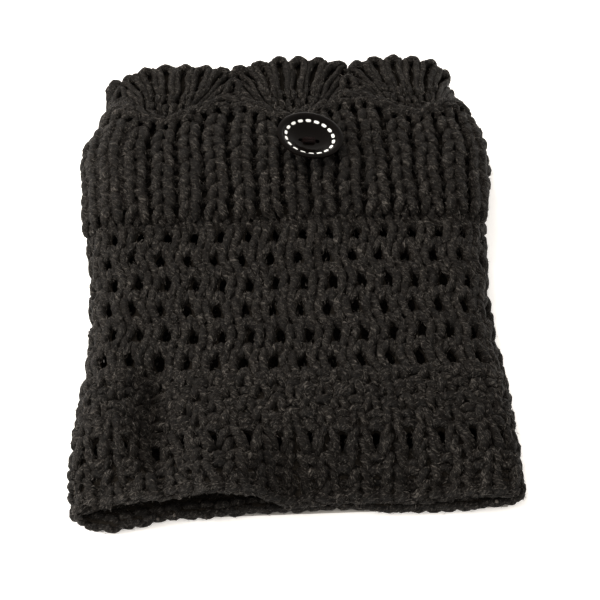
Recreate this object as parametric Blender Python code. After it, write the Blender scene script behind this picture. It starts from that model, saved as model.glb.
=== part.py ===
"""A knitted boot cuff: a short, chunky leg warmer laid flat on its back.

The cuff is knitted as one tube. +Y runs along it, from the hem to the scalloped edge, X runs across it and
+Z is up from the surface it lies on. The origin is under the middle of the whole cuff.

A point of the cloth is given by its repeat (how far round the tube, thirty repeats in all, 0 in the middle
of the front and growing towards +X), its level (Y) and its depth under the outside. Lengths are in
millimetres until a mesh is made.
"""

import math

import bmesh
import bpy
import numpy as np

MM = 0.001

# ---- Driving sizes ----

REPEATS = 30  # ribs round the band, columns of holes and hem eyelets
REPEAT_WIDTH = 10.5  # about, on the flat of the front
FANS = 6
SPOKES = 12  # strands in each fan
SEAM_GAP = 0.3

FRONT_MIDDLE = 5.6  # x of repeat 0
FOLD_RISE = 0.46  # height of a side fold's outermost line, as a share of the cuff's height there
FOLD_TOP = 15.0  # how far in from the fold the front has bent flat
FOLD_UNDER = 8.0
FOLD_STRETCH = 0.35  # cloth is stretched round the folds, so that height counts for less than width there
SECTION_POINTS = 181  # points across each layer where its length is measured
CROWN = 0.07  # how much lower the front is at its sides than in its middle

# Outline of the cuff by level: where the side folds are, how high the front stands, and how many of the
# thirty repeats lie in the front layer.
SECTION_COLUMNS = ("level", "left", "right", "height", "front")
SECTIONS = [
    (-109.0, -80.8, 80.2, 19.0, 14.8),
    (-98.0, -81.9, 81.9, 19.5, 14.8),
    (-84.0, -82.2, 81.3, 20.0, 14.8),
    (-71.0, -80.3, 80.1, 20.2, 15.0),
    (-52.0, -77.7, 79.6, 20.5, 15.3),
    (-38.0, -75.9, 77.9, 20.5, 15.4),
    (-10.0, -74.8, 76.9, 20.5, 15.4),
    (10.0, -75.2, 77.6, 21.0, 15.6),
    (22.0, -76.5, 78.4, 21.5, 15.9),
    (45.0, -77.1, 80.9, 21.9, 16.2),
    (57.0, -77.6, 81.5, 21.2, 16.2),
    (68.0, -76.1, 80.6, 20.1, 16.2),
    (79.0, -71.4, 77.8, 18.8, 16.0),
    (90.0, -68.4, 72.2, 17.6, 15.8),
    (109.0, -68.0, 69.4, 15.6, 15.6),
]

# Height of the front layer's outside at the hem, where it lifts in two waves and touches the back between.
WAVE_COLUMNS = ("across", "height")
HEM_WAVES = [
    (-82.0, 11.0),
    (-69.0, 11.8),
    (-61.0, 14.7),
    (-53.0, 16.2),
    (-46.0, 16.9),
    (-39.0, 18.7),
    (-32.0, 20.6),
    (-25.0, 20.2),
    (-14.0, 17.0),
    (-7.5, 11.6),
    (-2.0, 8.7),
    (4.0, 9.6),
    (15.0, 8.6),
    (50.0, 8.5),
    (65.0, 10.2),
    (81.0, 11.4),
]
WAVES_START = -70.0
WAVES_FULL = -104.0

# One soft hollow in the front, from the openwork down to the hem.
TROUGH_ACROSS = -50.5
TROUGH_DEPTH = 5.8
TROUGH_HALF_WIDTH = 6.4
TROUGH_START = -38.0
TROUGH_FULL = -60.0
TROUGH_FADE = -84.0
TROUGH_END = -102.0

# How far the rows climb beside the left fold, by level and by repeat.
CLIMB = 5.5
CLIMB_LEVELS = (-80.0, -49.0, 28.0)
CLIMB_REPEATS = (-12.0, -8.0, -6.5, -3.5)

# Levels of the hem's edge round the tube.
HEM_EDGE_COLUMNS = ("repeat", "level")
HEM_EDGE = [
    (-7.5, -104.0),
    (-4.0, -104.4),
    (0.0, -103.8),
    (3.5, -103.0),
    (6.0, -103.4),
    (7.5, -104.2),
    (9.0, -105.0),
    (10.4, -104.8),
    (12.0, -103.2),
    (15.0, -103.4),
    (18.5, -105.0),
    (19.6, -107.2),
    (20.3, -109.0),
    (21.2, -107.0),
    (22.5, -104.0),
]

# Levels of the zones, from the hem up.
EYELETS_TOP = -77.0
EYELETS_BOTTOM = -86.6
OPENWORK_LEVELS = [-53.0, -41.1, -28.4, -15.6, -3.2, 8.4, 19.7]
FAN_FOOT = 79.6  # middle of the wavy line between ribs and fans
FAN_FOOT_WAVE = 5.2
SCALLOP_DROP = 6.0
SCALLOP_ROUND = 2.4  # the higher, the flatter the peaks and the sharper the notches
SPOKE_GATHER = 0.7  # how far the spokes draw together at the foot of a fan
FAN_ROWS = (0.0, 0.3, 0.65, 1.0)  # shares of the way from foot to edge
FAN_COLUMNS = ("repeat", "peak")
FAN_PEAKS = [
    (-15.0, 107.0),
    (-10.0, 106.4),
    (-5.0, 107.0),
    (0.0, 109.1),
    (5.0, 108.8),
    (10.0, 107.4),
    (15.0, 107.0),
]

# Rows of the rib band as shares of its height, with how much of their relief the ribs have there.
RIB_COLUMNS = ("share", "relief")
RIB_ROWS = [(0.0, 0.35), (0.07, 1.0), (0.36, 1.0), (0.66, 1.0), (0.9, 1.0), (1.0, 0.4)]
RIB_PROFILE = ((-0.4, 0.0), (-0.2, 1.0), (0.2, 1.0), (0.4, 0.0))  # place in the repeat, share of the relief

# Rows of the hem below its eyelets: share of the way to its edge, and how deep it is between the posts.
HEM_COLUMNS = ("share", "pit")
HEM_ROWS = [(1.0, 0.3), (0.86, 0.0), (0.55, 0.9), (0.26, 0.0)]
POST_PIT_MOST = 0.3  # how deep the posts themselves may lie
DENSE_ROWS = (0.0, 0.33, 0.67, 1.0)

# Walls.
OPENWORK_WALL = 3.4
DENSE_WALL = 4.0
HEM_WALL = 3.8
RIB_WALL = 3.2
RIB_STAND = 2.0
FAN_WALL = 2.6
FAN_STAND = 1.2

# Holes: half sizes, and their outlines as shares of those.
HOLE_HALF_WIDTH = 0.16  # repeats
HOLE_HALF_LENGTH = 3.3
HOLE_DROP = 1.0  # how far a hole lies below the middle between two rows
HOLE_STAGGER = 0.14  # repeats, to the right and left in turn
HOLE_OUTLINE = [(0, -1), (1, -0.35), (1, 0.35), (0, 1), (-1, 0.35), (-1, -0.35)]
EYELET_HALF_WIDTH = 0.17
EYELET_HALF_LENGTH = 2.6
EYELET_LEVEL = -81.8
EYELET_OUTLINE = [(0, -1), (0.5, -0.2), (1, 0.7), (0, 1), (-1, 0.7), (-0.5, -0.2)]

# Button.
BUTTON_RADIUS = 12.95
BUTTON_ACROSS = 11.3
BUTTON_LEVEL = 55.8
BUTTON_TILT = math.radians(4.0)  # follows the fall of the ribs towards the fans
BUTTON_ROLL = math.radians(9.0)  # it leans down to the right
BUTTON_LIFT = 0.7
BUTTON_SIDES = 40
BUTTON_HOLE_RADIUS = 1.05
BUTTON_HOLE_SPACING = 6.3
BUTTON_COLUMNS = ("radius", "height")
BUTTON_PROFILE = [
    (0.0, 0.0),
    (5.0, 0.0),
    (8.5, 0.9),
    (12.1, 3.2),
    (BUTTON_RADIUS, 4.25),
    (12.5, 4.8),
    (11.5, 4.9),
    (10.8, 4.6),
    (10.1, 3.75),
    (8.4, 3.05),
    (6.4, 2.1),
    (3.6, 1.35),
    (0.0, 1.25),
]


# ---- The cloth's shape ----


def table(names, rows):
    return dict(zip(names, np.array(rows, float).T))


def smooth(rows, column, key, place):
    """A column of a table at any place of its key column, on a curve through the rows."""
    places, values = rows[key], rows[column]
    slopes = np.gradient(values, places)
    row = np.clip(np.searchsorted(places, place) - 1, 0, len(places) - 2)
    step = places[row + 1] - places[row]
    t = np.clip((place - places[row]) / step, 0.0, 1.0)
    ease = t * t * (3 - 2 * t)
    start = t * (1 - t) ** 2 * step * slopes[row]
    end = t * t * (t - 1) * step * slopes[row + 1]
    return values[row] * (1 - ease) + values[row + 1] * ease + start + end


def ramp(low, high, value):
    """0 at low, 1 at high, with no corner at either."""
    t = np.clip((value - low) / (high - low), 0.0, 1.0)
    return t * t * (3 - 2 * t)


OUTLINE = table(SECTION_COLUMNS, SECTIONS)
WAVES = table(WAVE_COLUMNS, HEM_WAVES)
HEM_LINE = table(HEM_EDGE_COLUMNS, HEM_EDGE)
PEAKS = table(FAN_COLUMNS, FAN_PEAKS)


def folds(level):
    """x of the left and right side folds."""
    return smooth(OUTLINE, "left", "level", level), smooth(OUTLINE, "right", "level", level)


def front_height(across, level):
    """Height of the front's outside before its sides bend down."""
    left, right = folds(level)
    from_middle = (2 * across - left - right) / (right - left)
    height = smooth(OUTLINE, "height", "level", level) * (1 - CROWN * from_middle**2)
    lift = ramp(WAVES_START, WAVES_FULL, level)
    height = height * (1 - lift) + smooth(WAVES, "height", "across", across) * lift
    trough = ramp(TROUGH_START, TROUGH_FULL, level) * ramp(TROUGH_END, TROUGH_FADE, level)
    return height - TROUGH_DEPTH * trough * np.exp(-(((across - TROUGH_ACROSS) / TROUGH_HALF_WIDTH) ** 2))


def bend(distance, reach):
    """A fold's quarter round: 0 at the fold, 1 where the layer has bent flat."""
    return np.sqrt(1 - (1 - np.clip(distance / reach, 0, 1)) ** 2)


def cross_section(level):
    """The outside at one level, once round: repeat, x, z and the outward normal."""
    left, right = folds(level)
    front_repeats = smooth(OUTLINE, "front", "level", level)
    turn = np.linspace(0, math.pi, SECTION_POINTS)
    x = (left + right) / 2 - (right - left) / 2 * np.cos(turn)
    inward = np.minimum(x - left, right - x)
    fold = FOLD_RISE * front_height(np.where(turn < math.pi / 2, left, right), level)
    top = fold + (front_height(x, level) - fold) * bend(inward, FOLD_TOP)
    under = fold * (1 - bend(inward, FOLD_UNDER))

    def run(z):
        return np.concatenate([[0], np.cumsum(np.abs(np.diff(x)) + FOLD_STRETCH * np.abs(np.diff(z)))])

    over, back = run(top), run(under[::-1])
    repeat_top = (over - np.interp(FRONT_MIDDLE, x, over)) * front_repeats / over[-1]
    repeat_under = repeat_top[-1] + back * (REPEATS - front_repeats) / back[-1]
    repeat = np.concatenate([repeat_top, repeat_under[1:]])
    x = np.concatenate([x, x[::-1][1:]])
    z = np.concatenate([top, under[::-1][1:]])
    dx = np.gradient(np.concatenate([x[-2:-1], x, x[1:2]]))[1:-1]
    dz = np.gradient(np.concatenate([z[-2:-1], z, z[1:2]]))[1:-1]
    size = np.hypot(dx, dz)
    return repeat, x, z, -dz / size, dx / size


def climb(repeat, level):
    """How far the row of stitches through this place has climbed beside the left fold."""
    half = REPEATS / 2
    from_middle = (repeat + half) % REPEATS - half
    share = np.interp(from_middle, CLIMB_REPEATS, (0, 1, 1, 0)) * np.interp(level, CLIMB_LEVELS, (0, 1, 0))
    return CLIMB * share


def cloth_point(repeat, level, depth, stand=0.0):
    """A point of the cloth. Relief rises by stand on the front, and fades out towards the underside."""
    level = level + climb(repeat, level)
    repeats, x, z, normal_x, normal_z = cross_section(level)
    place = repeats[0] + (repeat - repeats[0]) % REPEATS
    facing = np.array([np.interp(place, repeats, normal_x), np.interp(place, repeats, normal_z)])
    facing /= np.linalg.norm(facing)
    out = stand * (1 + facing[1]) / 2 - depth
    x_here = np.interp(place, repeats, x) + out * facing[0]
    z_here = np.interp(place, repeats, z) + out * facing[1]
    return (x_here, level, max(z_here, 0.0))


def hem_level(repeat):
    first = HEM_LINE["repeat"][0]
    return float(smooth(HEM_LINE, "level", "repeat", first + (repeat - first) % REPEATS))


def fan_phase(repeat):
    """-1 to 1 across one fan, 0 at its middle."""
    width = REPEATS / FANS
    return ((repeat + width / 2) % width - width / 2) / (width / 2)


def fan_foot_level(repeat):
    return FAN_FOOT - FAN_FOOT_WAVE * math.cos(math.pi * fan_phase(repeat))


def scallop_level(repeat):
    half = REPEATS / 2
    peak = smooth(PEAKS, "peak", "repeat", (repeat + half) % REPEATS - half)
    return peak - SCALLOP_DROP * abs(fan_phase(repeat)) ** SCALLOP_ROUND


# ---- Building a piece of wall ----


def new_material(name, colour, roughness):
    material = bpy.data.materials.new(name)
    material.use_nodes = True
    shader = material.node_tree.nodes["Principled BSDF"]
    shader.inputs["Base Color"].default_value = (*colour, 1)
    shader.inputs["Roughness"].default_value = roughness
    shader.inputs["Metallic"].default_value = 0
    return material


def new_piece(name, model, material):
    mesh = bpy.data.meshes.new(name)
    bmesh.ops.recalc_face_normals(model, faces=model.faces)
    model.to_mesh(mesh)
    model.free()
    mesh.materials.append(material)
    mesh.shade_smooth()
    mesh.set_sharp_from_angle(angle=math.radians(50))
    piece = bpy.data.objects.new(name, mesh)
    bpy.context.scene.collection.objects.link(piece)
    return piece


def knitted_wall(name, material, rows, wall, ring, holes=()):
    """A closed wall.

    rows holds rows of (repeat, level, stand, pit) from the hem side up. The outside stands and is pitted as
    they say, and the inside is plain at the depth wall. A ring closes on itself, and any other wall gets side
    edges. Each hole is (row, column, six (repeat, level) points) and cuts the two cells right of that column.
    """
    model = bmesh.new()

    def vertices(points, inside):
        made = []
        for repeat, level, stand, pit in points:
            place = cloth_point(repeat, level, wall if inside else pit, 0.0 if inside else stand)
            made.append(model.verts.new([value * MM for value in place]))
        return made

    outer = [vertices(row, False) for row in rows]
    inner = [vertices(row, True) for row in rows]
    count = len(rows[0])
    last = count if ring else count - 1
    cut = {}
    for row, column, outline in holes:
        cut[row, column] = outline
        cut[row, column + 1] = None

    for row in range(len(rows) - 1):
        for column in range(last):
            after = (column + 1) % count
            if (row, column) not in cut:
                for layer in (outer, inner):
                    corners = [layer[row][column], layer[row][after]]
                    corners += [layer[row + 1][after], layer[row + 1][column]]
                    model.faces.new(corners)
                continue
            if cut[row, column] is None:
                continue
            far = (column + 2) % count
            rims = []
            for layer, inside in ((outer, False), (inner, True)):
                rim = vertices([(*point, 0.0, 0.0) for point in cut[row, column]], inside)
                frame = [layer[row][after], layer[row][far], layer[row + 1][far]]
                frame += [layer[row + 1][after], layer[row + 1][column], layer[row][column]]
                for side in range(6):
                    following = (side + 1) % 6
                    model.faces.new([frame[side], frame[following], rim[following], rim[side]])
                rims.append(rim)
            for side in range(6):
                following = (side + 1) % 6
                model.faces.new([rims[0][side], rims[0][following], rims[1][following], rims[1][side]])

    for row in (0, len(rows) - 1):
        for column in range(last):
            after = (column + 1) % count
            model.faces.new([outer[row][column], outer[row][after], inner[row][after], inner[row][column]])
    if not ring:
        for column in (0, count - 1):
            for row in range(len(rows) - 1):
                outer_edge = [outer[row][column], outer[row + 1][column]]
                inner_edge = [inner[row + 1][column], inner[row][column]]
                model.faces.new(outer_edge + inner_edge)
    return new_piece(name, model, material)


def half_repeats(first, count):
    """Places every half repeat, held just inside the seams at both ends."""
    places = [first + step / 2 for step in range(2 * count + 1)]
    seam = SEAM_GAP / 2 / REPEAT_WIDTH
    places[0] += seam
    places[-1] -= seam
    return places


# ---- The zones ----


def fan_edging(material):
    """Spokes spread from the foot of each fan. Crests and hollows alternate."""
    per_fan = 2 * SPOKES
    rows = []
    for share in FAN_ROWS:
        row = []
        for column in range(FANS * per_fan):
            fan, place = divmod(column, per_fan)
            spread = 2 * place / per_fan - 1
            gather = 1 + SPOKE_GATHER * (1 - share)
            phase = math.copysign(abs(spread) ** gather, spread)
            repeat = (fan + phase / 2) * REPEATS / FANS
            foot = fan_foot_level(repeat) + SEAM_GAP / 2
            level = foot + (scallop_level(repeat) - foot) * share
            stand = FAN_STAND if place % 2 else 0.0
            row.append((repeat, level, stand, 0.0))
        rows.append(row)
    return knitted_wall("fan_edging", material, rows, FAN_WALL, ring=True)


def rib_band(material):
    """Thirty ribs, each with its crest over a repeat's middle and a hollow between it and the next."""
    bottom = OPENWORK_LEVELS[-1] + SEAM_GAP
    rows = []
    shape = table(RIB_COLUMNS, RIB_ROWS)
    for share, relief in zip(shape["share"], shape["relief"]):
        row = []
        for rib in range(REPEATS):
            for place, crest in RIB_PROFILE:
                repeat = rib + place
                top = fan_foot_level(repeat) - SEAM_GAP
                level = bottom + (top - bottom) * share
                row.append((repeat, level, RIB_STAND * crest * relief, 0.0))
        rows.append(row)
    return knitted_wall("rib_band", material, rows, RIB_WALL, ring=True)


def openwork(name, first_column, material):
    """Half of the openwork: fifteen columns of pointed holes in six staggered rows."""
    columns_here = REPEATS // 2
    places = half_repeats(first_column - 0.5, columns_here)
    rows = [[(repeat, level, 0.0, 0.0) for repeat in places] for level in OPENWORK_LEVELS]
    holes = []
    for row in range(len(OPENWORK_LEVELS) - 1):
        middle = (OPENWORK_LEVELS[row] + OPENWORK_LEVELS[row + 1]) / 2
        stagger = HOLE_STAGGER if row % 2 else -HOLE_STAGGER
        for column in range(columns_here):
            centre = first_column + column + stagger
            outline = []
            for aside, along in HOLE_OUTLINE:
                level = middle - HOLE_DROP + along * HOLE_HALF_LENGTH
                outline.append((centre + aside * HOLE_HALF_WIDTH, level))
            holes.append((row, 2 * column, outline))
    return knitted_wall(name, material, rows, OPENWORK_WALL, ring=False, holes=holes)


def dense_band(material):
    bottom, top = EYELETS_TOP + SEAM_GAP, OPENWORK_LEVELS[0] - SEAM_GAP
    rows = []
    for share in DENSE_ROWS:
        level = bottom + (top - bottom) * share
        rows.append([(column / 2, level, 0.0, 0.0) for column in range(2 * REPEATS)])
    return knitted_wall("dense_band", material, rows, DENSE_WALL, ring=True)


def hem(name, first_column, material):
    """Half of the hem: its row of eyelets, a close row, posts with pits between them, and the chain edge."""
    columns_here = REPEATS // 2
    places = half_repeats(first_column - 0.5, columns_here)
    rows = []
    shape = table(HEM_COLUMNS, HEM_ROWS)
    for share, pit in zip(shape["share"], shape["pit"]):
        row = []
        for column, repeat in enumerate(places):
            level = EYELETS_BOTTOM + (hem_level(repeat) - EYELETS_BOTTOM) * share
            between_posts = column % 2
            row.append((repeat, level, 0.0, pit if between_posts else min(pit, POST_PIT_MOST)))
        rows.append(row)
    for level in (EYELETS_BOTTOM, EYELETS_TOP):
        rows.append([(repeat, level, 0.0, 0.0) for repeat in places])
    holes = []
    for column in range(columns_here):
        outline = []
        for aside, along in EYELET_OUTLINE:
            repeat = first_column + column + aside * EYELET_HALF_WIDTH
            outline.append((repeat, EYELET_LEVEL + along * EYELET_HALF_LENGTH))
        holes.append((len(rows) - 2, 2 * column, outline))
    return knitted_wall(name, material, rows, HEM_WALL, ring=False, holes=holes)


def button(material):
    """A turned button with a round rim and a bowl inside it, bored by two holes and laid on the ribs."""
    model = bmesh.new()
    rings = []
    profile = table(BUTTON_COLUMNS, BUTTON_PROFILE)
    for radius, height in zip(profile["radius"], profile["height"]):
        if radius == 0:
            rings.append([model.verts.new((0, 0, height * MM))])
            continue
        ring = []
        for side in range(BUTTON_SIDES):
            angle = 2 * math.pi * side / BUTTON_SIDES
            place = (radius * math.cos(angle) * MM, radius * math.sin(angle) * MM, height * MM)
            ring.append(model.verts.new(place))
        rings.append(ring)
    for low, high in zip(rings, rings[1:]):
        for side in range(BUTTON_SIDES):
            after = (side + 1) % BUTTON_SIDES
            if len(low) == 1:
                model.faces.new([low[0], high[after], high[side]])
            elif len(high) == 1:
                model.faces.new([low[side], low[after], high[0]])
            else:
                model.faces.new([low[side], low[after], high[after], high[side]])
    piece = new_piece("button", model, material)

    for sign in (-1, 1):
        bpy.ops.mesh.primitive_cylinder_add(vertices=12, radius=BUTTON_HOLE_RADIUS * MM, depth=12 * MM)
        drill = bpy.context.object
        drill.name = "button_drill"
        drill.parent = piece
        drill.location = (sign * BUTTON_HOLE_SPACING / 2 * MM, 0, 0)
        drill.hide_render = True
        drill.display_type = "WIRE"
        bore = piece.modifiers.new("bore", "BOOLEAN")
        bore.operation = "DIFFERENCE"
        bore.solver = "EXACT"
        bore.object = drill

    seat = front_height(BUTTON_ACROSS, BUTTON_LEVEL) + RIB_STAND + BUTTON_LIFT
    piece.location = (BUTTON_ACROSS * MM, BUTTON_LEVEL * MM, seat * MM)
    piece.rotation_euler = (-BUTTON_TILT, BUTTON_ROLL, 0)
    return piece


# ---- The cuff ----

for old in list(bpy.data.objects):
    bpy.data.objects.remove(old, do_unlink=True)

fan_edging(new_material("fan yarn", (0.021, 0.017, 0.014), 0.9))
rib_band(new_material("rib yarn", (0.017, 0.014, 0.012), 0.9))
openwork_yarn = new_material("openwork yarn", (0.016, 0.014, 0.011), 0.9)
openwork("openwork_front", -7, openwork_yarn)
openwork("openwork_back", 8, openwork_yarn.copy())
dense_band(new_material("dense yarn", (0.017, 0.015, 0.012), 0.9))
hem_yarn = new_material("hem yarn", (0.016, 0.014, 0.011), 0.9)
hem("hem_front", -7, hem_yarn)
hem("hem_back", 8, hem_yarn.copy())
button(new_material("black plastic", (0.008, 0.008, 0.009), 0.18))
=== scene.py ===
"""The look of a dark, chunky knitted boot cuff that lies flat on its back, hem towards the camera."""

import math

import bpy
import numpy as np
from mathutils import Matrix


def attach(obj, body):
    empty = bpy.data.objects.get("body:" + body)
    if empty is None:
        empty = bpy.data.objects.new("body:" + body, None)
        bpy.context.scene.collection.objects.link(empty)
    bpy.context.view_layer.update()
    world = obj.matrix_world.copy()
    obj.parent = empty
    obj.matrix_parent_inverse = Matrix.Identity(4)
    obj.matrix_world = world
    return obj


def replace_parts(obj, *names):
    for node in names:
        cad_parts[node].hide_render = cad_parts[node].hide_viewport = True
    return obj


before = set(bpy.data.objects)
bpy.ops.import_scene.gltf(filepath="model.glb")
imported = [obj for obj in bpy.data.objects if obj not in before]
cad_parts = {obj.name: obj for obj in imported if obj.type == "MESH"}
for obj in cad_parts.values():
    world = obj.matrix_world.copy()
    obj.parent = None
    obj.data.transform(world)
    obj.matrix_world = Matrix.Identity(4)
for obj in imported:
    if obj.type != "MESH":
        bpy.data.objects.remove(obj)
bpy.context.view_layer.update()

# ----------------------------------------
# The tube of cloth. The real cuff is knitted in the round, with no seam, and lies in two layers with a round
# fold at each side. A plain inner wall carries all the yarn. Points of the cloth are (repeat, level, depth):
# thirty repeats go round, levels run along the tube, and depths go from the outside in. Sizes are in mm.

MM = 0.001
REPEATS = 30
FRONT_MIDDLE = 5.6
FOLD_RISE = 0.46
FOLD_TOP = 15.0
FOLD_UNDER = 8.0
FOLD_STRETCH = 0.35
CROWN = 0.07

# level, left fold, right fold, height of the front, repeats in the front layer
SECTIONS = [
    (-109, -80.8, 80.2, 19, 14.8),
    (-98, -81.9, 81.9, 19.5, 14.8),
    (-84, -82.2, 81.3, 20, 14.8),
    (-71, -80.3, 80.1, 20.2, 15),
    (-52, -77.7, 79.6, 20.5, 15.3),
    (-38, -75.9, 77.9, 20.5, 15.4),
    (-10, -74.8, 76.9, 20.5, 15.4),
    (10, -75.2, 77.6, 21, 15.6),
    (22, -76.5, 78.4, 21.5, 15.9),
    (45, -77.1, 80.9, 21.9, 16.2),
    (57, -77.6, 81.5, 21.2, 16.2),
    (68, -76.1, 80.6, 20.1, 16.2),
    (79, -71.4, 77.8, 18.8, 16),
    (90, -68.4, 72.2, 17.6, 15.8),
    (109, -68, 69.4, 15.6, 15.6),
]

# across, height of the front's outside at the hem
HEM_WAVES = [
    (-82, 11), (-69, 11.8), (-61, 14.7), (-53, 16.2), (-46, 16.9), (-39, 18.7), (-32, 20.6),
    (-25, 20.2), (-14, 17), (-7.5, 11.6), (-2, 8.7), (4, 9.6), (15, 8.6), (50, 8.5),
    (65, 10.2), (81, 11.4),
]
WAVES_START = -70.0
WAVES_FULL = -104.0

TROUGH_ACROSS = -50.5
TROUGH_DEPTH = 5.8
TROUGH_HALF_WIDTH = 6.4
TROUGH_START = -38.0
TROUGH_FULL = -60.0
TROUGH_FADE = -84.0
TROUGH_END = -102.0

# How far the rows climb beside the left fold, by level and by repeat
CLIMB = 5.5
CLIMB_LEVELS = (-80.0, -49.0, 28.0)
CLIMB_REPEATS = (-12.0, -8.0, -6.5, -3.5)

# repeat, level of the hem's edge
HEM_EDGE = [
    (-7.5, -104), (-4, -104.4), (0, -103.8), (3.5, -103), (6, -103.4), (7.5, -104.2), (9, -105),
    (10.4, -104.8), (12, -103.2), (15, -103.4), (18.5, -105), (19.6, -107.2), (20.3, -109),
    (21.2, -107), (22.5, -104),
]

# repeat at the middle of a fan, level of its peak
FAN_PEAKS = [
    (-15, 107), (-10, 106.4), (-5, 107), (0, 109.1), (5, 108.8), (10, 107.4), (15, 107),
]
FANS = 6
FAN_FOOT = 79.6
FAN_FOOT_WAVE = 5.2
SCALLOP_DROP = 6.0
SCALLOP_ROUND = 2.4


def columns(rows):
    return np.array(rows, float).T


def smooth(places, values, place):
    """Values at any place, on a curve through the rows of a table."""
    slopes = np.gradient(values, places)
    row = np.clip(np.searchsorted(places, place) - 1, 0, len(places) - 2)
    step = places[row + 1] - places[row]
    t = np.clip((place - places[row]) / step, 0.0, 1.0)
    ease = t * t * (3 - 2 * t)
    start = t * (1 - t) ** 2 * step * slopes[row]
    end = t * t * (t - 1) * step * slopes[row + 1]
    return values[row] * (1 - ease) + values[row + 1] * ease + start + end


def ramp(low, high, value):
    t = np.clip((value - low) / (high - low), 0.0, 1.0)
    return t * t * (3 - 2 * t)


def fold_bend(distance, reach):
    return np.sqrt(1 - (1 - np.clip(distance / reach, 0, 1)) ** 2)


def unit(vectors):
    return vectors / (np.linalg.norm(vectors, axis=-1, keepdims=True) + 1e-9)


def section(level):
    """Left fold, right fold, height and repeats in the front layer at a level."""
    levels, *measures = columns(SECTIONS)
    return [smooth(levels, measure, level) for measure in measures]


def front_height(across, level):
    left, right, height, _ = section(level)
    from_middle = (2 * across - left - right) / (right - left)
    height = height * (1 - CROWN * from_middle**2)
    lift = ramp(WAVES_START, WAVES_FULL, level)
    height = height * (1 - lift) + smooth(*columns(HEM_WAVES), across) * lift
    trough = ramp(TROUGH_START, TROUGH_FULL, level) * ramp(TROUGH_END, TROUGH_FADE, level)
    return height - TROUGH_DEPTH * trough * np.exp(-(((across - TROUGH_ACROSS) / TROUGH_HALF_WIDTH) ** 2))


def hem_level(repeat):
    return smooth(*columns(HEM_EDGE), (repeat + 7.5) % REPEATS - 7.5)


def fan_phase(repeat):
    width = REPEATS / FANS
    return ((repeat + width / 2) % width - width / 2) / (width / 2)


def fan_foot_level(repeat):
    return FAN_FOOT - FAN_FOOT_WAVE * np.cos(math.pi * fan_phase(repeat))


def scallop_level(repeat):
    peak = smooth(*columns(FAN_PEAKS), (repeat + REPEATS / 2) % REPEATS - REPEATS / 2)
    return peak - SCALLOP_DROP * np.abs(fan_phase(repeat)) ** SCALLOP_ROUND


# The outside of the cuff, worked out once on a fine net and read between its knots after that.
NET_LOW = -116.0
NET_STEP = 0.5
NET_LEVELS = 462
NET_PER_REPEAT = 24


def net_row(level):
    left, right, _, front_repeats = section(level)
    turn = np.linspace(0, math.pi, 241)
    x = (left + right) / 2 - (right - left) / 2 * np.cos(turn)
    inward = np.minimum(x - left, right - x)
    fold = FOLD_RISE * front_height(np.where(turn < math.pi / 2, left, right), level)
    top = fold + (front_height(x, level) - fold) * fold_bend(inward, FOLD_TOP)
    under = fold * (1 - fold_bend(inward, FOLD_UNDER))

    def run(z):
        return np.concatenate([[0], np.cumsum(np.abs(np.diff(x)) + FOLD_STRETCH * np.abs(np.diff(z)))])

    over, back = run(top), run(under[::-1])
    repeat_top = (over - np.interp(FRONT_MIDDLE, x, over)) * front_repeats / over[-1]
    repeat_under = repeat_top[-1] + back * (REPEATS - front_repeats) / back[-1]
    repeat = np.concatenate([repeat_top, repeat_under[1:]])
    x = np.concatenate([x, x[::-1][1:]])
    z = np.concatenate([top, under[::-1][1:]])
    dx, dz = (np.gradient(np.concatenate([v[-2:-1], v, v[1:2]]))[1:-1] for v in (x, z))
    size = np.hypot(dx, dz)
    knots = np.arange(REPEATS * NET_PER_REPEAT) / NET_PER_REPEAT
    place = repeat[0] + (knots - repeat[0]) % REPEATS
    return np.stack([np.interp(place, repeat, v) for v in (x, z, -dz / size, dx / size)], axis=1)


net = np.array([net_row(NET_LOW + NET_STEP * row) for row in range(NET_LEVELS)])


def on_cloth(repeat, level, depth, stand=0.0):
    """Points of the cloth and its outward normals. stand is how far relief rises, none on the underside."""
    # Hand-knitted cloth is never quite even, so the rows and columns drift a little.
    aside = 0.035 * np.sin(0.11 * level + 1.3 * repeat) + 0.025 * np.sin(0.31 * level - 0.6 * repeat + 1.0)
    along = 0.45 * np.sin(0.9 * repeat + 0.05 * level) + 0.3 * np.sin(2.2 * repeat - 0.09 * level + 2.0)
    from_middle = (repeat + REPEATS / 2) % REPEATS - REPEATS / 2
    climb = np.interp(from_middle, CLIMB_REPEATS, (0, 1, 1, 0)) * np.interp(level, CLIMB_LEVELS, (0, 1, 0))
    along = along + CLIMB * climb
    column = ((repeat + aside) % REPEATS) * NET_PER_REPEAT
    row = np.clip((level + along - NET_LOW) / NET_STEP, 0, NET_LEVELS - 1.001)
    c, r = np.floor(column).astype(int) % (REPEATS * NET_PER_REPEAT), np.floor(row).astype(int)
    c_after = (c + 1) % (REPEATS * NET_PER_REPEAT)
    u, v = (column - np.floor(column))[..., None], (row - r)[..., None]
    near = net[r, c] * (1 - u) + net[r, c_after] * u
    far = net[r + 1, c] * (1 - u) + net[r + 1, c_after] * u
    x, z, normal_x, normal_z = np.moveaxis(near * (1 - v) + far * v, -1, 0)
    out = stand * (1 + normal_z) / 2 - depth
    points = np.stack([x + out * normal_x, level + along, z + out * normal_z], axis=-1)
    return points, np.stack([normal_x, np.zeros_like(x), normal_z], axis=-1)


def in_scene(name, data):
    made = bpy.data.objects.new(name, data)
    bpy.context.scene.collection.objects.link(made)
    return made


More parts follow.
